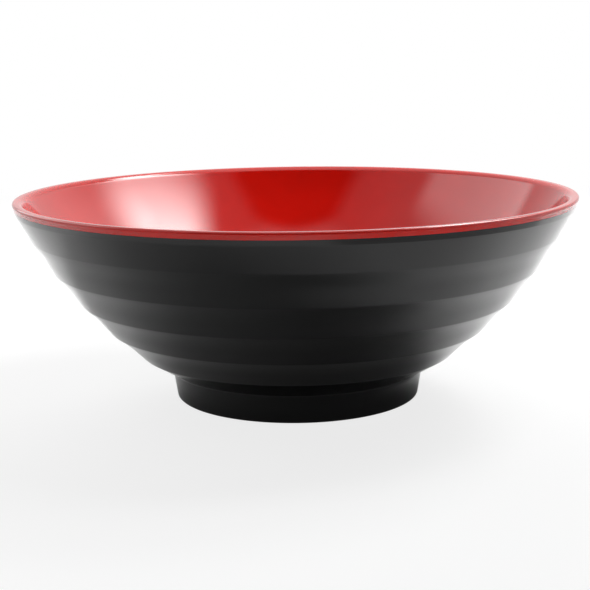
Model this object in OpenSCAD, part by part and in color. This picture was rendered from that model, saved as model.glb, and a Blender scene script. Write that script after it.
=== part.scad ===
// Noodle bowl in two colours: a black ringed shell on a foot, moulded round a red liner.
// Every piece is turned about Z. Z = 0 is the table and the axis is the middle of the bowl.

/* [Overall] */
// Diameter over the lip
rim_d = 208.4; // [185:0.2:255]
// Height from the table to the top of the lip
bowl_h = 76.4; // [63:0.2:92]

/* [Lip] */
// Height of the red edge above the parting line
lip_h = 2.5; // [2.4:0.1:3.4]
// How far the red edge is drawn in at the parting line
lip_undercut = 0.5; // [0.2:0.1:1.2]
// Height over which the red edge is drawn in
lip_undercut_h = 1.5; // [0.5:0.1:1.6]
// Radius along the outside of the lip
lip_edge_round = 0.8; // [0.3:0.1:0.9]
// Radius where the lip turns down into the bowl
lip_inner_round = 3; // [1:0.1:3.6]

/* [Walls] */
// Thickness from the ring edges to the red inside face
wall_t = 3.8; // [3.2:0.1:6]
// Thickness of the red liner
liner_t = 1.5; // [1:0.1:2]
// Bond line between liner and shell
bond_gap = 0.05; // [0.02:0.01:0.2]
// Thickness of the base under the middle of the bowl
base_t = 4.3; // [3.4:0.1:7]
// Radius from the red wall into the red floor
floor_round = 50; // [30:1:60]

/* [Rings] */
// Radius of the sweep that the ring edges lie on
sweep_r = 152; // [125:1:220]
// Height of the steep collar under the lip
collar_h = 1.9; // [1:0.1:3]
// Slope of the collar away from upright, in degrees
collar_draft = 18; // [0:1:24]
// Radius under the collar
collar_round = 1; // [0.2:0.1:3]
// Width of the plain band between the lip and the first ring
rim_band = 12.8; // [9:0.1:18]
// Rings below the plain band
ring_count = 4; // [3:1:5]
// How much wider each ring is than the one above it
ring_growth = 0.35; // [0:0.05:0.8]
// Depth of the shallow cove in the first ring
first_cove_depth = 0.38; // [0.06:0.02:0.7]
// Depth of the cove in every other ring
cove_depth = 0.62; // [0.1:0.02:0.8]
// Distance from a ring's upper edge to the deepest part of its cove
cove_run = 6; // [5:0.1:7.5]
// Radius along the bottom of a cove
cove_round = 40; // [5:1:50]
// Radius over the edge between two rings
ridge_round = 2; // [0.5:0.1:5]

/* [Foot] */
// Diameter of the foot ring at the table
foot_d = 92; // [76:0.2:112]
// Height of the foot's outer wall
foot_h = 10.4; // [8:0.1:13]
// Slope of the foot's outer wall away from upright, in degrees
foot_draft = 9; // [0:0.1:15]
// Width of the foot ring at the table
foot_land = 3.6; // [2.6:0.1:7]
// Radius on the two edges of the foot ring
foot_edge_round = 0.8; // [0.2:0.1:1.2]
// Height of the hollow inside the foot ring
recess_h = 7.2; // [5:0.1:8]
// Slope of the hollow's wall away from upright, in degrees
recess_draft = 8; // [2:0.5:15]
// Radius in the hollow's corner
recess_round = 3; // [0.5:0.1:4]
// How far the lowest ring overhangs the top of the foot
heel_out = 11.7; // [7:0.1:16]
// Height of the lowest ring's edge above the top of the foot
heel_rise = 6.9; // [4:0.1:9]
// Radius over the lowest ring's edge
heel_round = 1.2; // [0.3:0.1:3]
// Radius in the neck between the underside and the foot
neck_round = 2; // [0.5:0.1:4]

/* [Hidden] */
// Greatest distance between a true arc and the short lines that draw it
arc_tolerance = 0.01;
// Fewest lines in a rounded corner
arc_least_steps = 3;
$fn = 180;

// The main levels and the points where the outside starts and ends
rim_r = rim_d / 2;
part_r = rim_r - lip_undercut;
part_z = bowl_h - lip_h;
foot_r = foot_d / 2;
neck = [foot_r + foot_h * tan(foot_draft), foot_h];
heel = neck + [heel_out, heel_rise];
lip_foot = [part_r, part_z];
collar_way = [-tan(collar_draft), -1];
floor_z = recess_h + base_t;

// The sweep is the arc from the parting line to the heel, seen from its centre inside the bowl
sweep_chord = heel - lip_foot;
sweep_half = norm(sweep_chord) / 2;
sweep_in = [sweep_chord.y, -sweep_chord.x] / norm(sweep_chord);
sweep_centre = (lip_foot + heel) / 2 + sqrt(sweep_r ^ 2 - sweep_half ^ 2) * sweep_in;
sweep_turn = 2 * asin(sweep_half / sweep_r);
sweep_len = sweep_r * sweep_turn * PI / 180;

// Rings share the sweep that the plain band leaves, each a little wider than the last
growth_total = ring_growth * ring_count * (ring_count - 1) / 2;
first_ring = (sweep_len - rim_band - growth_total) / ring_count;

// The red inside is an arc about the sweep's centre that runs into a tighter arc and a flat floor
inside_r = sweep_r - wall_t;
floor_centre_z = floor_z + floor_round;
floor_centre_drop = sweep_centre.y - floor_centre_z;
floor_centre_out = sqrt((inside_r - floor_round) ^ 2 - floor_centre_drop ^ 2);
floor_centre = [sweep_centre.x + floor_centre_out, floor_centre_z];
floor_slope = atan2(floor_centre_out, floor_centre_drop);

// Direction of a line that climbs outward at a slope, and the point of an arc that has that slope
function climb(slope) = [cos(slope), sin(slope)];
function on_arc(centre, radius, slope) = centre + radius * [sin(slope), -cos(slope)];

// Slope at which an arc about the sweep's centre reaches a height
function slope_at(radius, z) = acos((sweep_centre.y - z) / radius);

// Lines needed for an arc of a radius and a turn
function steps(radius, turn) =
    max(arc_least_steps, ceil(turn / (2 * acos(1 - min(1, arc_tolerance / radius)))));

// An arc from one slope to another, seen from its centre, drawn in a number of lines
function arc(centre, radius, from, to, count) =
    [for (i = [0:count]) on_arc(centre, radius, from + (to - from) * i / count)];

// The corner b of the line a, b, c, rounded to a radius
function rounded(a, b, c, radius) =
    let (u = (a - b) / norm(a - b))
    let (v = (c - b) / norm(c - b))
    let (half = acos(u * v) / 2)
    let (centre = b + (u + v) / norm(u + v) * radius / sin(half))
    let (start = b + u * radius / tan(half) - centre)
    let (end = b + v * radius / tan(half) - centre)
    let (from = atan2(start.y, start.x))
    let (turn = 180 - 2 * half)
    let (side = sign(start.x * end.y - start.y * end.x))
    let (count = steps(radius, turn))
    [for (i = [0:count]) centre + radius * climb(from + side * turn * i / count)];

// A path through corners given as [point, radius]; its two ends stay as they are
function rounded_path(corners) =
    let (last = len(corners) - 1)
    [for (i = [0:last])
        each i == 0 || i == last || corners[i][1] == 0
            ? [corners[i][0]]
            : rounded(corners[i - 1][0], corners[i][0], corners[i + 1][0], corners[i][1])];

// Edge below ring i, where 0 is the edge below the plain band
function ring_way(i) = rim_band + i * first_ring + ring_growth * i * (i - 1) / 2;
function ridge(i) =
    let (slope = atan2(lip_foot.x - sweep_centre.x, sweep_centre.y - lip_foot.y))
    on_arc(sweep_centre, sweep_r, slope - ring_way(i) / sweep_r * 180 / PI);

// Deepest point of the cove in ring i
function cove(i) =
    let (along = (ridge(i) - ridge(i - 1)) / norm(ridge(i) - ridge(i - 1)))
    let (inward = [along.y, -along.x])
    ridge(i - 1) + cove_run * along + (i == 1 ? first_cove_depth : cove_depth) * inward;

// Lines in the wall and in the turn to the floor, the same for every face so that the bond gap is even
wall_lines = steps(sweep_r, slope_at(sweep_r, bowl_h) - floor_slope);
floor_lines = steps(floor_round + wall_t, floor_slope);

// The face a set distance outside the red inside face, from a height down to the axis
function bowl_face(out, top_z) = concat(
    arc(sweep_centre, inside_r + out, slope_at(inside_r + out, top_z), floor_slope, wall_lines),
    arc(floor_centre, floor_round + out, floor_slope, 0, floor_lines),
    [[0, floor_z - out]]);

// The black outside, from the parting line down to the axis under the foot
function shell_outside(top_z) =
    let (land_in = foot_r - foot_land)
    rounded_path(concat(
        [[lip_foot + (part_z - top_z) * collar_way, 0], [lip_foot + collar_h * collar_way, collar_round]],
        [[ridge(0), ridge_round]],
        [for (i = [1:ring_count])
            each [[cove(i), cove_round], [ridge(i), i == ring_count ? heel_round : ridge_round]]],
        [
            [neck, neck_round],
            [[foot_r, 0], foot_edge_round],
            [[land_in, 0], foot_edge_round],
            [[land_in - recess_h * tan(recess_draft), recess_h], recess_round],
            [[0, recess_h], 0]
        ]));

// The lip, from the red wall over the top and down to the parting line
function lip_face() =
    let (wall_z = bowl_h - lip_inner_round)
    let (wall_slope = slope_at(inside_r, wall_z))
    let (wall_end = on_arc(sweep_centre, inside_r, wall_slope))
    let (wall_top = wall_end + lip_inner_round / sin(wall_slope) * climb(wall_slope))
    rounded_path([
        [wall_end, 0],
        [wall_top, lip_inner_round],
        [[rim_r, bowl_h], lip_edge_round],
        [[rim_r, part_z + lip_undercut_h], lip_edge_round / 2],
        [lip_foot, 0]
    ]);

function reversed(list) = [for (i = [len(list) - 1:-1:0]) list[i]];

// Black body with its rings, foot and open seat for the liner
module outer_shell() {
    seat_z = part_z - bond_gap;
    seat = bowl_face(liner_t + bond_gap, seat_z);
    color([0.075, 0.075, 0.08])
        rotate_extrude()
            polygon(concat(shell_outside(seat_z), reversed(seat)));
}

// Red inside with the lip that caps the edge of the shell
module inner_liner() {
    inside_top = bowl_h - lip_inner_round;
    inside = reversed(bowl_face(0, inside_top));
    bonded = bowl_face(liner_t, part_z);
    lip = lip_face();
    color([0.69, 0.06, 0.04])
        rotate_extrude()
            polygon(concat(inside, [for (i = [1:len(lip) - 1]) lip[i]], bonded));
}

outer_shell();
inner_liner();
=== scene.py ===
# %% [markdown]
# A noodle bowl in two colours of melamine
#
# The bowl is two mouldings: a black shell with coved rings and a foot, and a thin red liner that covers
# the inside and turns over the shell's edge as the lip. This lesson loads the CAD model as a fixed
# frame, works out both mouldings as smooth surfaces of revolution, gives them a glossy glazed finish,
# and lights them on a pale floor as a small studio would.

# %% Load the frame
import math

import bpy
import numpy as np
from mathutils import Matrix, Quaternion, Vector


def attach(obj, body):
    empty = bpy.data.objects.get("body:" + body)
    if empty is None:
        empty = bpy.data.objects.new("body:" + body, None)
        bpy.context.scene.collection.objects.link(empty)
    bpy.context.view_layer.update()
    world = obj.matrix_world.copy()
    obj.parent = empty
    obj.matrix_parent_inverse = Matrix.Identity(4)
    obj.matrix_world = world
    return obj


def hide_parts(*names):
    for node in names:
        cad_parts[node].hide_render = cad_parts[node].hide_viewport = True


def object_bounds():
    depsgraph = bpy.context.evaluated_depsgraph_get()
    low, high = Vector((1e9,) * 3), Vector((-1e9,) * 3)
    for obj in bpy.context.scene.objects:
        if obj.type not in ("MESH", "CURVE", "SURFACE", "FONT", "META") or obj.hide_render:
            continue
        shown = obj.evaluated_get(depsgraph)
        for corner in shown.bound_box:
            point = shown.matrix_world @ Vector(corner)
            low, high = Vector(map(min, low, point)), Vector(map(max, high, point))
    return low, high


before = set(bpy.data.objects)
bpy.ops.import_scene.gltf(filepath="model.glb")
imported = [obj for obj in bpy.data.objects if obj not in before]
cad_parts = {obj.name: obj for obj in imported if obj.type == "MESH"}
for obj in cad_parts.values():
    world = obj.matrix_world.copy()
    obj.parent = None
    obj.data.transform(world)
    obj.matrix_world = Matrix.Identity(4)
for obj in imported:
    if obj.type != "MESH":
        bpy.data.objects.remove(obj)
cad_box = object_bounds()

MM = 0.001
cad_low = np.array(cad_box[0], float)
cad_high = np.array(cad_box[1], float)
print("nodes in the frame:", sorted(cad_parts))
print("CAD box in mm:", np.round(cad_low / MM, 2), np.round(cad_high / MM, 2))

# %% [markdown]
# The driving sizes
#
# A moulded bowl is set out on its half section, so every size below is a distance on that section.
# The rim and the height are read from the frame; the others are the sizes that the CAD model
# is built with. Keeping them together here, in millimetres, makes them easy to compare with a drawing.

# %% Sizes of the half section
rim_r = float(min(cad_high[0], cad_high[1], -cad_low[0], -cad_low[1])) / MM
bowl_h = cad_high[2] / MM

lip_h = 2.5
lip_undercut = 0.5
lip_undercut_h = 1.5
lip_edge_round = 0.8
lip_inner_round = 3.0

wall_t = 3.8
liner_t = 1.5
bond_gap = 0.05
base_t = 4.3
floor_round = 50.0

sweep_r = 152.0
collar_h = 1.9
collar_draft = math.radians(18.0)
collar_round = 1.0
rim_band = 12.8
ring_count = 4
ring_growth = 0.35
first_cove_depth = 0.38
cove_depth = 0.62
cove_run = 6.0
cove_round = 40.0
ridge_round = 2.0

foot_r = 46.0
foot_h = 10.4
foot_draft = math.radians(9.0)
foot_land = 3.6
foot_edge_round = 0.8
recess_h = 7.2
recess_draft = math.radians(8.0)
recess_round = 3.0
heel_out = 11.7
heel_rise = 6.9
heel_round = 1.2
neck_round = 2.0

part_r = rim_r - lip_undercut
part_z = bowl_h - lip_h
floor_z = recess_h + base_t
print(f"rim {2 * rim_r:.1f} mm across, {bowl_h:.1f} mm high, parting line at {part_z:.1f} mm")

# %% [markdown]
# The sweep under the rings
#
# The edges between the rings all lie on one large arc, the sweep, from the parting line down to the
# heel. They could be placed one by one, but one arc gives the whole side a single clean line, and the
# rings are then stepped along it. The red inside follows the same arc, one wall thickness further in.

# %% Find the sweep
lip_foot = np.array([part_r, part_z])
neck = np.array([foot_r + foot_h * math.tan(foot_draft), foot_h])
heel = neck + np.array([heel_out, heel_rise])


def arc_centre(start, end, radius):
    """Centre of an arc from start to end: half way along the chord, then inward by Pythagoras."""
    chord = end - start
    half = np.linalg.norm(chord) / 2
    inward = np.array([chord[1], -chord[0]]) / (2 * half)
    return (start + end) / 2 + math.sqrt(radius ** 2 - half ** 2) * inward


def on_arc(centre, radius, slope):
    """Point of an arc where its tangent climbs at a slope: the centre plus a radius square to it."""
    return centre + radius * np.stack([np.sin(slope), -np.cos(slope)], axis=-1)


sweep_centre = arc_centre(lip_foot, heel, sweep_r)
sweep_top = math.atan2(lip_foot[0] - sweep_centre[0], sweep_centre[1] - lip_foot[1])
sweep_foot = math.atan2(heel[0] - sweep_centre[0], sweep_centre[1] - heel[1])
sweep_len = sweep_r * (sweep_top - sweep_foot)
first_ring = (sweep_len - rim_band - ring_growth * ring_count * (ring_count - 1) / 2) / ring_count
print(f"sweep {sweep_len:.1f} mm long, first ring {first_ring:.2f} mm wide")

# %% [markdown]
# Rings, ridges and coves
#
# Each ring is a shallow cove between two rounded ridges, the shape that a moulder calls a coved step.
# A bump in the finish could fake it, but the rings show in the outline, so they are real points of the
# section. A ridge is a point on the sweep. The deepest point of a cove is a short run below its upper
# ridge, pushed inward, so the cove is brightest right under the ridge and fades towards the next one.


# %% Points of the rings
def ridge(i):
    """Edge below ring i on the sweep: the band, then i rings, each wider by the growth."""
    along = rim_band + i * first_ring + ring_growth * i * (i - 1) / 2
    return on_arc(sweep_centre, sweep_r, sweep_top - along / sweep_r)


def cove(i):
    """Deepest point of ring i: the run along the line between its ridges, then inward by the depth."""
    along = ridge(i) - ridge(i - 1)
    along = along / np.linalg.norm(along)
    inward = np.array([along[1], -along[0]])
    depth = first_cove_depth if i == 1 else cove_depth
    return ridge(i - 1) + cove_run * along + depth * inward


print("ridges at", [np.round(ridge(i), 1).tolist() for i in range(ring_count + 1)])

# %% [markdown]
# Lines with rounded corners
#
# A half section is a chain of corners, and on the real mouldings each has its own radius. A Bevel
# modifier could round the finished mesh, but rounding the line itself keeps every radius exact: step
# back along both lines of a corner by the tangent length and join the two points with an arc. The
# straight stretches are divided as well: a glossy surface shows every uneven face, so the points lie
# close together everywhere that can be seen.

# %% Helpers for a half section
ARC_STEP = math.radians(4.0)
ARC_LEAST_STEPS = 6
LINE_STEP = 0.7


def divided(start, end, step):
    """Points along a straight line, at most a step apart, without its last point."""
    count = max(1, math.ceil(np.linalg.norm(end - start) / step))
    share = np.linspace(0, 1, count, endpoint=False)[:, None]
    return start + (end - start) * share


def rounded_corner(before, corner, after, radius):
    """Arc that rounds a corner: tangent length radius / tan(half angle), centre on the bisector."""
    u = (before - corner) / np.linalg.norm(before - corner)
    v = (after - corner) / np.linalg.norm(after - corner)
    half = math.acos(np.clip(u @ v, -1, 1)) / 2
    centre = corner + (u + v) / np.linalg.norm(u + v) * radius / math.sin(half)
    first = corner + u * radius / math.tan(half) - centre
    last = corner + v * radius / math.tan(half) - centre
    turn = math.pi - 2 * half
    side = np.sign(first[0] * last[1] - first[1] * last[0])
    count = max(ARC_LEAST_STEPS, math.ceil(turn / ARC_STEP))
    angle = math.atan2(first[1], first[0]) + side * turn * np.linspace(0, 1, count + 1)
    return centre + radius * np.stack([np.cos(angle), np.sin(angle)], axis=-1)


def rounded_line(corners, step=LINE_STEP):
    """Chain of (point, radius) corners as one close row of points, with its ends as they are."""
    points = [np.asarray(point, float) for point, _ in corners]
    bends = [points[0][None]]
    for k in range(1, len(corners) - 1):
        radius = corners[k][1]
        bends.append(rounded_corner(*points[k - 1:k + 2], radius) if radius else points[k][None])
    bends.append(points[-1][None])
    row = []
    for here, there in zip(bends[:-1], bends[1:]):
        row += [here[:-1], divided(here[-1], there[0], step)]
    return np.concatenate(row + [points[-1][None]])


print(f"arcs in steps of {math.degrees(ARC_STEP):.0f} degrees, lines in steps of {LINE_STEP} mm")

# %% [markdown]
# The face between liner and shell
#
# The red inside face is an arc about the sweep's centre that runs without a break into a tighter arc and
# then a flat floor. A Solidify modifier could give one face a thickness, but here two mouldings have to
# fit. So the back of the liner and the seat in the shell are the same line moved outward, and the two
# meet face to face with only a hair-thin bond between them.

# %% Lines that follow the inside
inside_r = sweep_r - wall_t
floor_drop = sweep_centre[1] - floor_z - floor_round
floor_out = math.sqrt((inside_r - floor_round) ** 2 - floor_drop ** 2)
floor_centre = np.array([sweep_centre[0] + floor_out, floor_z + floor_round])
floor_slope = math.atan2(floor_out, floor_drop)


def bowl_line(out, top_z, step):
    """Line a set distance outside the red face, from the axis up to a height: floor, bend, wall."""
    wall_r = inside_r + out
    bend_r = floor_round + out
    top_slope = math.acos((sweep_centre[1] - top_z) / wall_r)
    flat = divided(np.array([0, floor_z - out]), np.array([floor_centre[0], floor_z - out]), step)
    bend_count = math.ceil(bend_r * floor_slope / step)
    bend = on_arc(floor_centre, bend_r, np.linspace(0, floor_slope, bend_count, endpoint=False))
    wall_count = math.ceil(wall_r * (top_slope - floor_slope) / step)
    wall = on_arc(sweep_centre, wall_r, np.linspace(floor_slope, top_slope, wall_count + 1))
    return np.concatenate([flat, bend, wall])


print(f"inside face {inside_r:.1f} mm radius, flat floor {2 * floor_centre[0]:.1f} mm across")

# %% [markdown]
# The black shell's half section
#
# The shell is the body of the bowl. Its wall is thicker at the ridges than in the coves, so it is drawn
# as a closed section and not as a skin with an even thickness. The section starts on the axis under the
# foot, goes round the foot ring, out under the heel and up the rings to the steep collar under the lip.
# From there it comes back down the seat that holds the liner and ends on the axis again.

# %% Half section of the shell
HIDDEN_STEP = 2.5


def shell_section():
    """Closed half section of the shell: hollow, foot, heel, rings, collar, then the seat to the axis."""
    land_in = foot_r - foot_land
    seat_z = part_z - bond_gap
    down_collar = np.array([-math.tan(collar_draft), -1])
    edge_top = lip_foot + bond_gap * down_collar
    corners = [
        ([0, recess_h], 0),
        ([land_in - recess_h * math.tan(recess_draft), recess_h], recess_round),
        ([land_in, 0], foot_edge_round),
        ([foot_r, 0], foot_edge_round),
        (neck, neck_round),
    ]
    for i in range(ring_count, 0, -1):
        corners.append((ridge(i), heel_round if i == ring_count else ridge_round))
        corners.append((cove(i), cove_round))
    corners += [
        (ridge(0), ridge_round),
        (lip_foot + collar_h * down_collar, collar_round),
        (edge_top, 0),
    ]
    seat = bowl_line(liner_t + bond_gap, seat_z, HIDDEN_STEP)
    edge = divided(edge_top, seat[-1], LINE_STEP)
    return np.concatenate([rounded_line(corners)[:-1], edge, seat[::-1]])


shell_points = shell_section()
print("shell section:", len(shell_points), "points")

# %% [markdown]
# The red liner's half section
#
# The liner is the red inside and the lip in one. The lip could be a ring of its own, but the two are one
# moulding without a seam, so one section runs up the back, out over the shell's edge, round the lip and
# down the visible red face. The lip has a large soft radius towards the inside and a small one outside,
# and its outer edge is drawn in a little towards the parting line. It is small but catches the brightest
# line of light, so its points lie three times as close.

# %% Half section of the liner
LIP_STEP = LINE_STEP / 3


def liner_section():
    """Closed half section of the liner: back, underside of the lip, lip, then the red face to the axis."""
    back = bowl_line(liner_t, part_z, HIDDEN_STEP)
    wall_z = bowl_h - lip_inner_round
    face = bowl_line(0, wall_z, LINE_STEP)
    wall_slope = math.acos((sweep_centre[1] - wall_z) / inside_r)
    climb = np.array([math.cos(wall_slope), math.sin(wall_slope)])
    wall_top = face[-1] + lip_inner_round / math.sin(wall_slope) * climb
    lip = rounded_line([
        (lip_foot, 0),
        ([rim_r, part_z + lip_undercut_h], lip_edge_round / 2),
        ([rim_r, bowl_h], lip_edge_round),
        (wall_top, lip_inner_round),
        (face[-1], 0),
    ], LIP_STEP)
    under = divided(back[-1], lip_foot, LINE_STEP)
    return np.concatenate([back[:-1], under, lip[:-1], face[::-1]])


liner_points = liner_section()
print("liner section:", len(liner_points), "points")

# %% [markdown]
# Turning a section into a mesh
#
# A mould for a round bowl is cut on a lathe, which turns one section through every angle. Blender's Spin
# tool or Screw modifier could do the same. The formula is as short, and it leaves no double points on
# the axis: a point of the surface is (radius cos angle, radius sin angle, height), and each of the two
# ends on the axis is one point with a fan of triangles.

# %% Turn a half section about the axis
TURN_STEPS = 272
SHARP_ANGLE = math.radians(35)


def add_mesh(name, vertices, faces):
    """New object at the origin whose mesh has the given corners and faces."""
    mesh = bpy.data.meshes.new(name)
    mesh.from_pydata(vertices, [], faces)
    made = bpy.data.objects.new(name, mesh)
    bpy.context.scene.collection.objects.link(made)
    return made


def turned(name, section):
    """Mesh of a section in mm turned about Z, closed at both poles, with faces that point outward."""
    rows = len(section) - 2
    angle = np.linspace(0, 2 * math.pi, TURN_STEPS, endpoint=False)
    ring = section[1:-1, :1] * MM
    height = np.repeat(section[1:-1, 1:] * MM, TURN_STEPS, axis=1)
    grid = np.stack([ring * np.cos(angle), ring * np.sin(angle), height], axis=-1)
    ends = np.array([[0, 0, section[0, 1]], [0, 0, section[-1, 1]]]) * MM
    vertices = np.concatenate([grid.reshape(-1, 3), ends])
    here = np.arange(TURN_STEPS)
    there = (here + 1) % TURN_STEPS
    row = np.arange(rows - 1)[:, None] * TURN_STEPS
    above = row + TURN_STEPS
    quads = np.stack([row + here, row + there, above + there, above + here], axis=-1)
    first_pole = np.full(TURN_STEPS, len(vertices) - 2)
    first_fan = np.stack([first_pole, there, here], axis=-1)
    last_pole = np.full(TURN_STEPS, len(vertices) - 1)
    last_row = (rows - 1) * TURN_STEPS
    last_fan = np.stack([last_pole, last_row + here, last_row + there], axis=-1)
    faces = quads.reshape(-1, 4).tolist() + first_fan.tolist() + last_fan.tolist()
    piece = add_mesh(name, vertices.tolist(), faces)
    piece.data.polygons.foreach_set("use_smooth", np.ones(len(faces), bool))
    piece.data.set_sharp_from_angle(angle=SHARP_ANGLE)
    piece.data.update()
    return piece


shell = turned("bowl_shell", shell_points)
liner = turned("bowl_liner", liner_points)
print("turned:", shell.name, liner.name)

# %% [markdown]
# Measuring the mouldings
#
# The volume of a real bowl tells its weight, and the sign of a mesh's volume tells whether its faces
# point outward. Each triangle makes a small pyramid with the origin, and their signed volumes add up to
# the whole.

# %% Volume of each moulding
CM3_PER_M3 = 1e6


def volume_cm3(mesh):
    """Signed volume of a closed mesh: the sum of each triangle's corner product over six."""
    mesh.calc_loop_triangles()
    index = np.zeros(len(mesh.loop_triangles) * 3, np.int32)
    mesh.loop_triangles.foreach_get("vertices", index)
    points = np.zeros(len(mesh.vertices) * 3, np.float32)
    mesh.vertices.foreach_get("co", points)
    a, b, c = np.moveaxis(points.reshape(-1, 3)[index.reshape(-1, 3)].astype(float), 1, 0)
    return float(np.einsum("ij,ij->i", a, np.cross(b, c)).sum() / 6 * CM3_PER_M3)


for piece in (shell, liner):
    volume = volume_cm3(piece.data)
    print(piece.name, len(piece.data.loop_triangles), "triangles,", f"{volume:.1f} cm3")

# %% [markdown]
# Putting the mouldings on the frame
#
# Both pieces stand exactly where their CAD nodes stand, so they replace them. They could be joined into
# one mesh, but two pieces keep the two mouldings apart, as in the CAD model. Nothing moves on a bowl, and
# both ride on the one body that the frame has.

# %% Ride on the frame
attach(shell, "root")
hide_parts("outer_shell")
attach(liner, "root")
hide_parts("inner_liner")

# %% [markdown]
# Building with shader nodes
#
# Every finish, the floor and the studio are small trees of nodes. They could be clicked together in the
# Shader Editor, but a few helpers build the same trees from readable lines. An input takes either a
# plain value or the output of another node, so one helper serves both.


# %% Helpers for node trees
def plug(tree, socket, value):
    """Give an input its value: a link if the value is another node's output, else a plain setting."""
    if isinstance(value, bpy.types.NodeSocket):
        tree.links.new(value, socket)
    else:
        socket.default_value = value


def add_node(tree, kind, x, y, **values):
    """New node at a place in the tree, with the given inputs plugged in by name."""
    made = tree.nodes.new(kind)
    made.location = (x, y)
    for name, value in values.items():
        plug(tree, made.inputs[name.replace("_", " ")], value)
    return made


def ranged(tree, value, start, end, low, high, x, y, easing="LINEAR"):
    """Number that goes from low to high while a value goes from start to end, and stays put outside."""
    made = add_node(tree, "ShaderNodeMapRange", x, y, Value=value, From_Min=start, From_Max=end,
                    To_Min=low, To_Max=high)
    made.interpolation_type = easing
    return made.outputs["Result"]


def new_material(name):
    """Empty node material and its tree."""
    material = bpy.data.materials.new(name)
    material.use_nodes = True
    material.node_tree.nodes.clear()
    return material, material.node_tree


print("node helpers:", plug.__name__, add_node.__name__, ranged.__name__, new_material.__name__)

# %% [markdown]
# Glazed melamine
#
# Melamine ware comes out of a polished mould with a clear glaze, so light is mirrored by a smooth clear
# surface and coloured only by what lies beneath it. One Principled shader gives both. Three faint things
# keep it from looking like a computer's plastic: clouds in the colour, a glaze that is smoother in some
# places than in others, and a slight ripple from the mould. Pictures of a real surface could give them,
# but noise needs no file, and in Object coordinates it stays on the piece.

# %% Glazed finish
CLOUD_SCALE = 28.0
CLOUD_DETAIL = 3.0
GLOSS_SCALE = 45.0
GLOSS_DETAIL = 5.0
RIPPLE_SCALE = 130.0
RIPPLE_DETAIL = 2.0
RIPPLE_HEIGHT = 0.0001
NOISE_ROUGHNESS = 0.55
NOISE_LOW = 0.3
NOISE_HIGH = 0.7
GLAZE_IOR = 1.65


def noise_between(tree, vector, scale, detail, low, high, y):
    """Number that wanders between two values: noise at a place, its usual span stretched to theirs."""
    noise = add_node(tree, "ShaderNodeTexNoise", -700, y, Vector=vector, Scale=scale, Detail=detail,
                     Roughness=NOISE_ROUGHNESS)
    return ranged(tree, noise.outputs["Fac"], NOISE_LOW, NOISE_HIGH, low, high, -480, y)


def glazed(name, dark, light, smooth, dull, ripple):
    """Glazed plastic: colour clouds between two tones, gloss between two values, a ripple as bump."""
    material, tree = new_material(name)
    place = add_node(tree, "ShaderNodeTexCoord", -950, 0).outputs["Object"]
    cloud = noise_between(tree, place, CLOUD_SCALE, CLOUD_DETAIL, 0.0, 1.0, 250)
    colour = add_node(tree, "ShaderNodeMix", -250, 250)
    colour.data_type = "RGBA"
    plug(tree, colour.inputs["Factor"], cloud)
    plug(tree, colour.inputs["A"], (*dark, 1))
    plug(tree, colour.inputs["B"], (*light, 1))
    gloss = noise_between(tree, place, GLOSS_SCALE, GLOSS_DETAIL, smooth, dull, 0)
    wave = noise_between(tree, place, RIPPLE_SCALE, RIPPLE_DETAIL, 0.0, 1.0, -250)
    bump = add_node(tree, "ShaderNodeBump", -250, -250, Strength=ripple, Distance=RIPPLE_HEIGHT,
                    Height=wave)
    shader = add_node(tree, "ShaderNodeBsdfPrincipled", 0, 100, IOR=GLAZE_IOR, Roughness=gloss,
                      Base_Color=colour.outputs["Result"], Normal=bump.outputs["Normal"])
    add_node(tree, "ShaderNodeOutputMaterial", 280, 100, Surface=shader.outputs["BSDF"])
    return material


print(f"seen straight on, the glaze mirrors {((GLAZE_IOR - 1) / (GLAZE_IOR + 1)) ** 2:.1%} of the light")

# %% Black and red finishes
black = glazed("black_melamine", dark=(0.0028, 0.0028, 0.0030), light=(0.0042, 0.0042, 0.0045),
               smooth=0.09, dull=0.13, ripple=0.02)
red = glazed("red_melamine", dark=(0.530, 0.0085, 0.0042), light=(0.605, 0.0105, 0.0055),
             smooth=0.06, dull=0.09, ripple=0.012)
shell.data.materials.append(black)
liner.data.materials.append(red)
print("finishes:", black.name, red.name)

# %% [markdown]
# The floor
#
# The bowl stands on a plain pale floor that catches its shadow. One large flat disc is enough. Its rings
# grow with their distance, so that faces are small near the bowl and few far away.

# %% Floor disc
FLOOR_R = 6.0
FLOOR_MIDDLE_R = 0.02
FLOOR_RINGS = 40
FLOOR_SPOKES = 96


def floor_disc():
    """Flat disc as a polar grid: rings whose radius grows evenly in ratio, with a fan in the middle."""
    radius = np.geomspace(FLOOR_MIDDLE_R, FLOOR_R, FLOOR_RINGS)[:, None]
    angle = np.linspace(0, 2 * math.pi, FLOOR_SPOKES, endpoint=False)
    grid = np.stack([radius * np.cos(angle), radius * np.sin(angle), 0 * radius * angle], axis=-1)
    vertices = np.concatenate([grid.reshape(-1, 3), [[0, 0, 0]]])
    here = np.arange(FLOOR_SPOKES)
    there = (here + 1) % FLOOR_SPOKES
    row = np.arange(FLOOR_RINGS - 1)[:, None] * FLOOR_SPOKES
    outer = row + FLOOR_SPOKES
    quads = np.stack([row + here, outer + here, outer + there, row + there], axis=-1)
    fan = np.stack([np.full(FLOOR_SPOKES, len(vertices) - 1), here, there], axis=-1)
    return add_mesh("floor", vertices.tolist(), quads.reshape(-1, 4).tolist() + fan.tolist())


floor = floor_disc()
print("floor", FLOOR_R, "m in radius")
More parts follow.
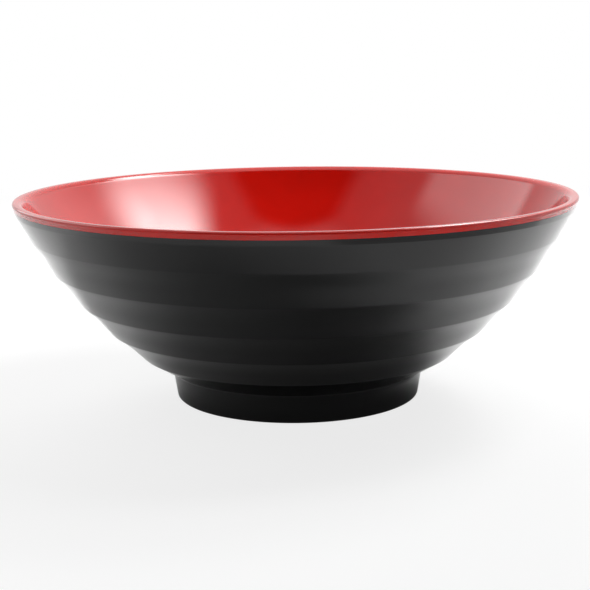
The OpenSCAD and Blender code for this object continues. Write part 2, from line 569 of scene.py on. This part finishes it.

# %% [markdown]
# The floor's finish
#
# Near the bowl the floor is an ordinary matt surface, and further out it turns plain, so that floor and
# background meet without a line. The camera sees it mostly white, with a share of the matt floor that
# keeps the shadow. The black outside is a mirror of this floor, and three kinds of painted shade are laid
# on it for the gloss only: it is duller in front of the bowl, darker past a slanting shadow edge to the
# front right, and dark further towards the camera. Dark sheets could cast such shade, but they would
# show in the picture. So these three are painted shade that only the gloss sees.


# %% Sums and steps in a node tree
def joined(tree, operation, first, second, x, y):
    """Result of one operation on two numbers, each an output or a plain value."""
    made = add_node(tree, "ShaderNodeMath", x, y)
    made.operation = operation
    plug(tree, made.inputs[0], first)
    plug(tree, made.inputs[1], second)
    return made.outputs["Value"]


def smooth_step(tree, value, start, end, low, high, x, y):
    """Like ranged, but eased at both ends: the share t becomes 3 t squared minus 2 t cubed."""
    return ranged(tree, value, start, end, low, high, x, y, "SMOOTHSTEP")


print("more node helpers:", joined.__name__, smooth_step.__name__)

# %% What the gloss sees of the floor
# Places on the floor are in metres from the axis, and the front is at minus Y
# Painted shade for the gloss only: a shadow edge to the front right and shade in front of the bowl
SHADOW_EDGE = 0.148
SHADOW_EDGE_SOFT = 0.006
PAST_SHADOW_EDGE = 0.55
FRONT_SHADE = 0.76
FRONT_SHADE_FROM = -0.02
FRONT_SHADE_TO = -0.10
# Painted shade on the far floor for the gloss only: darker towards the camera
FAR_FRONT_SHADE = 0.25
FAR_FRONT_SHADE_FROM = -0.12
FAR_FRONT_SHADE_TO = -0.32


def painted_shade_tone(tree, x, y):
    """Painted shade of the matt floor in the gloss: one step across a diagonal times one step to the front.
    """
    corner = joined(tree, "SUBTRACT", x, y, -900, 350)
    diagonal = joined(tree, "MULTIPLY", corner, math.sqrt(0.5), -700, 350)
    edge = smooth_step(tree, diagonal, SHADOW_EDGE - SHADOW_EDGE_SOFT, SHADOW_EDGE + SHADOW_EDGE_SOFT,
                       1.0, PAST_SHADOW_EDGE, -500, 350)
    front = smooth_step(tree, y, FRONT_SHADE_TO, FRONT_SHADE_FROM, FRONT_SHADE, 1.0, -500, 550)
    return joined(tree, "MULTIPLY", edge, front, -400, 450)


def seen_in_gloss(tree, ray, x, y):
    """1 for a ray that was mirrored or went through something clear, else 0: the larger of the two."""
    return joined(tree, "MAXIMUM", ray["Is Glossy Ray"], ray["Is Transmission Ray"], x, y)


def blended(tree, share, first, second, x, y):
    """Two shaders in one: the share of the second, and the rest of the first."""
    made = add_node(tree, "ShaderNodeMixShader", x, y, Fac=share)
    plug(tree, made.inputs[1], first)
    plug(tree, made.inputs[2], second)
    return made.outputs["Shader"]


print(f"in the gloss: {FRONT_SHADE:.0%} in front of the bowl, {PAST_SHADOW_EDGE:.0%} of that past the edge")

# %% Finish of the floor
WHITE = (1, 1, 1, 1)
FLOOR_TONE = 0.88
PLAIN_FROM = 0.30
PLAIN_TO = 0.75
NEAR_WHITE = 0.8


def floor_finish():
    """Matt floor that turns plain with its distance: white to the camera, with painted shade at the front
    in the gloss.
    """
    material, tree = new_material("pale_floor")
    place = add_node(tree, "ShaderNodeTexCoord", -1300, -100).outputs["Object"]
    split = add_node(tree, "ShaderNodeSeparateXYZ", -1100, -300, Vector=place).outputs
    far = add_node(tree, "ShaderNodeVectorMath", -900, -100, Vector=place)
    far.operation = "LENGTH"
    plain = smooth_step(tree, far.outputs["Value"], PLAIN_FROM, PLAIN_TO, 0.0, 1.0, -700, -100)
    ray = add_node(tree, "ShaderNodeLightPath", -900, -550).outputs
    mirrored = seen_in_gloss(tree, ray, -500, -550)
    # Painted shade on the floor that only mirrored rays see: darker past a slanting edge and in front of
    # the bowl
    painted_shade = painted_shade_tone(tree, split["X"], split["Y"])
    tone = add_node(tree, "ShaderNodeMix", -300, 350, Factor=mirrored, A=1.0, B=painted_shade).outputs["Result"]
    colour = joined(tree, "MULTIPLY", tone, FLOOR_TONE, -200, 350)
    matt = add_node(tree, "ShaderNodeBsdfDiffuse", -100, 200, Color=colour).outputs["BSDF"]
    # Painted shade on the far white floor that only the gloss sees: darker towards the camera
    dim = smooth_step(tree, split["Y"], FAR_FRONT_SHADE_TO, FAR_FRONT_SHADE_FROM, FAR_FRONT_SHADE, 1.0, -700, -350)
    shaded_far_floor = add_node(tree, "ShaderNodeEmission", -100, 0, Color=WHITE, Strength=dim)
    gloss_share = joined(tree, "MULTIPLY", plain, mirrored, -300, -250)
    in_gloss = blended(tree, gloss_share, matt, shaded_far_floor.outputs["Emission"], 120, 100)
    white_floor = add_node(tree, "ShaderNodeEmission", -100, -200, Color=WHITE, Strength=1.0)
    near = joined(tree, "MAXIMUM", plain, NEAR_WHITE, -500, -50)
    camera_share = joined(tree, "MULTIPLY", near, ray["Is Camera Ray"], -300, -50)
    in_view = blended(tree, camera_share, in_gloss, white_floor.outputs["Emission"], 320, 100)
    add_node(tree, "ShaderNodeOutputMaterial", 520, 100, Surface=in_view)
    return material


floor.data.materials.append(floor_finish())
print("floor is matt up to", PLAIN_FROM, "m and plain from", PLAIN_TO, "m")

# %% [markdown]
# The light tent
#
# A glossy thing is a mirror, so it is shaped by what stands round it. Here that is a light tent: cloth
# walls that brighten from the front to the back, a bright roof, and a dark opening in front where the
# camera looks in, which narrows upwards and ends in an arch. A picture of a studio could stand round the
# bowl, but a few numbers that depend only on the direction keep the tent plain and easy to change. The
# lamps do most of the lighting, so the cloth lights matt things less than it shows in the gloss.

# %% Brightness of the tent
# A wall or opening lies between -1, straight to the front, and 1, straight back; a rise of 1 is overhead
TENT_FRONT = 0.32
TENT_FRONT_AT = -0.85
TENT_BACK = 0.90
TENT_BACK_AT = 0.9
TENT_ROOF = 1.15
ROOF_FROM = 0.85
ROOF_TO = 0.93
OPENING_LEVEL = 0.01
OPENING_FROM = -0.67
OPENING_TO = -0.54
OPENING_LEAN = 0.31
OPENING_ARCH = 0.17
ARCH_FROM = 0.83
ARCH_TO = 0.93
# Keeps the level part of a direction from being nought overhead
NOT_NOUGHT = 0.0001


def tent_level(tree, toward):
    """Brightness in a direction: walls by how far back it points, roof by its rise, times the opening."""
    split = add_node(tree, "ShaderNodeSeparateXYZ", -1100, 0, Vector=toward).outputs
    rise = split["Z"]
    squared = joined(tree, "MULTIPLY", rise, rise, -900, -150)
    left_over = joined(tree, "SUBTRACT", 1 + NOT_NOUGHT, squared, -750, -150)
    level = joined(tree, "SQRT", left_over, 0.0, -600, -150)
    backward = joined(tree, "DIVIDE", split["Y"], level, -450, 0)
    wall = ranged(tree, backward, TENT_FRONT_AT, TENT_BACK_AT, TENT_FRONT, TENT_BACK, -250, 150)
    roof = smooth_step(tree, rise, ROOF_FROM, ROOF_TO, 0.0, 1.0, -250, -350)
    cloth = add_node(tree, "ShaderNodeMix", 120, 0, Factor=roof, A=wall, B=TENT_ROOF).outputs["Result"]
    lean = joined(tree, "MULTIPLY", rise, OPENING_LEAN, -600, -300)
    arch = smooth_step(tree, rise, ARCH_FROM, ARCH_TO, 0.0, OPENING_ARCH, -600, -450)
    bent = joined(tree, "ADD", lean, arch, -450, -300)
    leaning = joined(tree, "ADD", backward, bent, -350, -150)
    opening = smooth_step(tree, leaning, OPENING_FROM, OPENING_TO, OPENING_LEVEL, 1.0, -250, -100)
    return joined(tree, "MULTIPLY", cloth, opening, 200, 50)


half_opening = math.acos(-(OPENING_FROM + OPENING_TO) / 2)
print(f"the tent's opening is {2 * math.degrees(half_opening):.0f} degrees wide at the floor")

# %% World as a light tent
TENT_LIGHT = 0.06


def light_tent():
    """World that shows the tent in the gloss, lights matt things with a share of it, and looks white."""
    world = bpy.data.worlds.new("light_tent")
    world.use_nodes = True
    tree = world.node_tree
    tree.nodes.clear()
    toward = add_node(tree, "ShaderNodeTexCoord", -1300, 0).outputs["Generated"]
    ray = add_node(tree, "ShaderNodeLightPath", -250, 400).outputs
    mirrored = seen_in_gloss(tree, ray, -50, 400)
    share = ranged(tree, mirrored, 0.0, 1.0, TENT_LIGHT, 1.0, 120, 300)
    strength = joined(tree, "MULTIPLY", tent_level(tree, toward), share, 300, 150)
    tent = add_node(tree, "ShaderNodeBackground", 300, 0, Color=WHITE, Strength=strength)
    white = add_node(tree, "ShaderNodeBackground", 300, -180, Color=WHITE, Strength=1.0)
    seen = blended(tree, ray["Is Camera Ray"], tent.outputs["Background"], white.outputs["Background"],
                   500, 0)
    add_node(tree, "ShaderNodeOutputWorld", 700, 0, Surface=seen)
    bpy.context.scene.world = world


light_tent()
print("tent:", TENT_FRONT, "at the front,", TENT_BACK, "at the back,", TENT_ROOF, "in the roof")

# %% [markdown]
# Lamps
#
# A softbox does two things: its lamp lights what is matt, and its cloth shows in what is glossy. An area
# lamp could do both, but here the two are made apart, so that each can stand where it is needed. Most of
# the light comes from the right and from behind, so the shadow falls to the left and towards the camera.
# A weak lamp fills in from the left, and a low one in front reaches the outside of the lip.

# %% Place the lamps
BOWL_MIDDLE = Vector((0, 0, 0.06))


def stand_at(made, azimuth, elevation, distance, roll=0):
    """Place a thing round the bowl, facing it, by angles on a sphere and a roll about its own axis.

    All angles are in degrees. Azimuth 0 is the front and 90 the right.
    """
    turn = math.radians(azimuth)
    rise = math.radians(elevation)
    toward = Vector((math.sin(turn) * math.cos(rise), -math.cos(turn) * math.cos(rise), math.sin(rise)))
    made.location = BOWL_MIDDLE + toward * distance
    facing = toward.to_track_quat("Z", "Y") @ Quaternion((0, 0, 1), math.radians(roll))
    made.rotation_euler = facing.to_euler()


def lamp(name, azimuth, elevation, distance, width, height, brightness):
    """Area lamp facing the bowl: its power is its brightness times its area times pi."""
    light = bpy.data.lights.new(name, "AREA")
    light.shape = "RECTANGLE"
    light.size = width
    light.size_y = height
    light.energy = brightness * width * height * math.pi
    made = bpy.data.objects.new(name, light)
    bpy.context.scene.collection.objects.link(made)
    made.visible_glossy = False
    made.visible_camera = False
    stand_at(made, azimuth, elevation, distance)


lamp("right_lamp", azimuth=104, elevation=57, distance=0.63, width=0.15, height=0.39, brightness=10.8)
lamp("back_right_lamp", azimuth=129, elevation=46, distance=0.66, width=0.20, height=0.12, brightness=32.5)
lamp("back_lamp", azimuth=181, elevation=24, distance=0.715, width=0.55, height=0.143, brightness=16.2)
lamp("left_lamp", azimuth=-104.6, elevation=40.5, distance=0.36, width=0.41, height=0.26, brightness=1.85)
lamp("front_lamp", azimuth=-4.4, elevation=12, distance=1.19, width=0.56, height=0.32, brightness=5.2)

# %% [markdown]
# Cloths
#
# The soft highlights on the red inside are mirrored cloths. Each one is a flat panel that shines, and
# only the gloss sees it. Real cloth is brightest in front of its lamp and fades towards its edges, so
# each side of a panel has its own share that fades.

# %% Place the cloths
CLOTH_DISTANCE = 0.6


def cloth_finish(name, brightness, left, right, low, high):
    """Shine that fades at four sides: the product of four steps across the panel, times a brightness."""
    material, tree = new_material(name)
    place = add_node(tree, "ShaderNodeUVMap", -900, 0)
    place.uv_map = "panel"
    split = add_node(tree, "ShaderNodeSeparateXYZ", -700, 0, Vector=place.outputs["UV"]).outputs
    from_left = smooth_step(tree, split["X"], 0.0, left, 0.0, 1.0, -500, 300)
    from_right = smooth_step(tree, split["X"], 1.0 - right, 1.0, 1.0, 0.0, -500, 100)
    from_low = smooth_step(tree, split["Y"], 0.0, low, 0.0, 1.0, -500, -100)
    from_high = smooth_step(tree, split["Y"], 1.0 - high, 1.0, 1.0, 0.0, -500, -300)
    wide = joined(tree, "MULTIPLY", from_left, from_right, -300, 200)
    tall = joined(tree, "MULTIPLY", from_low, from_high, -300, -200)
    shape = joined(tree, "MULTIPLY", wide, tall, -150, 0)
    strength = joined(tree, "MULTIPLY", shape, brightness, 0, 0)
    shine = add_node(tree, "ShaderNodeEmission", 150, 0, Color=WHITE, Strength=strength)
    clear = add_node(tree, "ShaderNodeBsdfTransparent", 150, -150)
    over = add_node(tree, "ShaderNodeAddShader", 300, 0)
    plug(tree, over.inputs[0], shine.outputs["Emission"])
    plug(tree, over.inputs[1], clear.outputs["BSDF"])
    add_node(tree, "ShaderNodeOutputMaterial", 480, 0, Surface=over.outputs["Shader"])
    return material


def cloth(name, azimuth, elevation, roll, width, height, brightness, fades):
    """Flat shining panel facing the bowl; fades are the shares of its left, right, low and high sides."""
    x = width / 2
    y = height / 2
    made = add_mesh(name, [(-x, -y, 0), (x, -y, 0), (x, y, 0), (-x, y, 0)], [(0, 1, 2, 3)])
    corners = np.array([0, 0, 1, 0, 1, 1, 0, 1], np.float32)
    made.data.uv_layers.new(name="panel").uv.foreach_set("vector", corners)
    made.data.materials.append(cloth_finish(name, brightness, *fades))
    made.visible_camera = False
    made.visible_diffuse = False
    made.visible_shadow = False
    stand_at(made, azimuth, elevation, CLOTH_DISTANCE, roll)
    print(name, "is", width, "by", height, "m")


cloth("right_cloth", azimuth=94.5, elevation=44.9, roll=13, width=0.66, height=0.48,
      brightness=20.0, fades=(0.86, 0.37, 0.81, 0.31))
cloth("back_right_cloth", azimuth=142, elevation=54, roll=0, width=0.40, height=0.17,
      brightness=11.0, fades=(0.35, 0.35, 0.4, 0.4))
cloth("low_right_cloth", azimuth=135, elevation=25.4, roll=-32, width=0.93, height=0.19,
      brightness=2.2, fades=(0.16, 0.95, 0.95, 0.14))
cloth("left_cloth", azimuth=-115.5, elevation=30, roll=24, width=0.76, height=0.36,
      brightness=1.43, fades=(0.13, 0.16, 0.16, 0.31))

# %% [markdown]
# The camera
#
# The camera looks slightly down on the rim from half a metre away. It could be moved by eye until the
# picture looks right, but the ellipses of the rim and the foot fix its place, its lens and its lean of
# less than a degree, so these were worked out from them.

# %% Camera
IMAGE_PX = 590
FOCAL_PX = 1285.1
SENSOR_MM = 36.0
NEAREST_SEEN = 0.01
CAMERA_DISTANCE = 0.48996
CAMERA_ELEVATION = math.radians(11.065)
CAMERA_LEAN = math.radians(-0.752)
AIM = Vector((-0.00062, 0, 0.03711))

lens = bpy.data.cameras.new("photo_camera")
lens.sensor_fit = "HORIZONTAL"
lens.sensor_width = SENSOR_MM
lens.lens = FOCAL_PX / IMAGE_PX * SENSOR_MM
lens.clip_start = NEAREST_SEEN
camera = bpy.data.objects.new("photo_camera", lens)
back_off = Vector((0, -math.cos(CAMERA_ELEVATION), math.sin(CAMERA_ELEVATION))) * CAMERA_DISTANCE
tilt = Matrix.Rotation(math.pi / 2 - CAMERA_ELEVATION, 4, "X")
lean = Matrix.Rotation(CAMERA_LEAN, 4, "Z")
camera.matrix_world = Matrix.Translation(AIM + back_off) @ tilt @ lean
bpy.context.scene.collection.objects.link(camera)
bpy.context.scene.camera = camera
bpy.context.scene.view_settings.view_transform = "Standard"
print(f"lens {lens.lens:.1f} mm at", np.round(np.array(camera.location), 4))
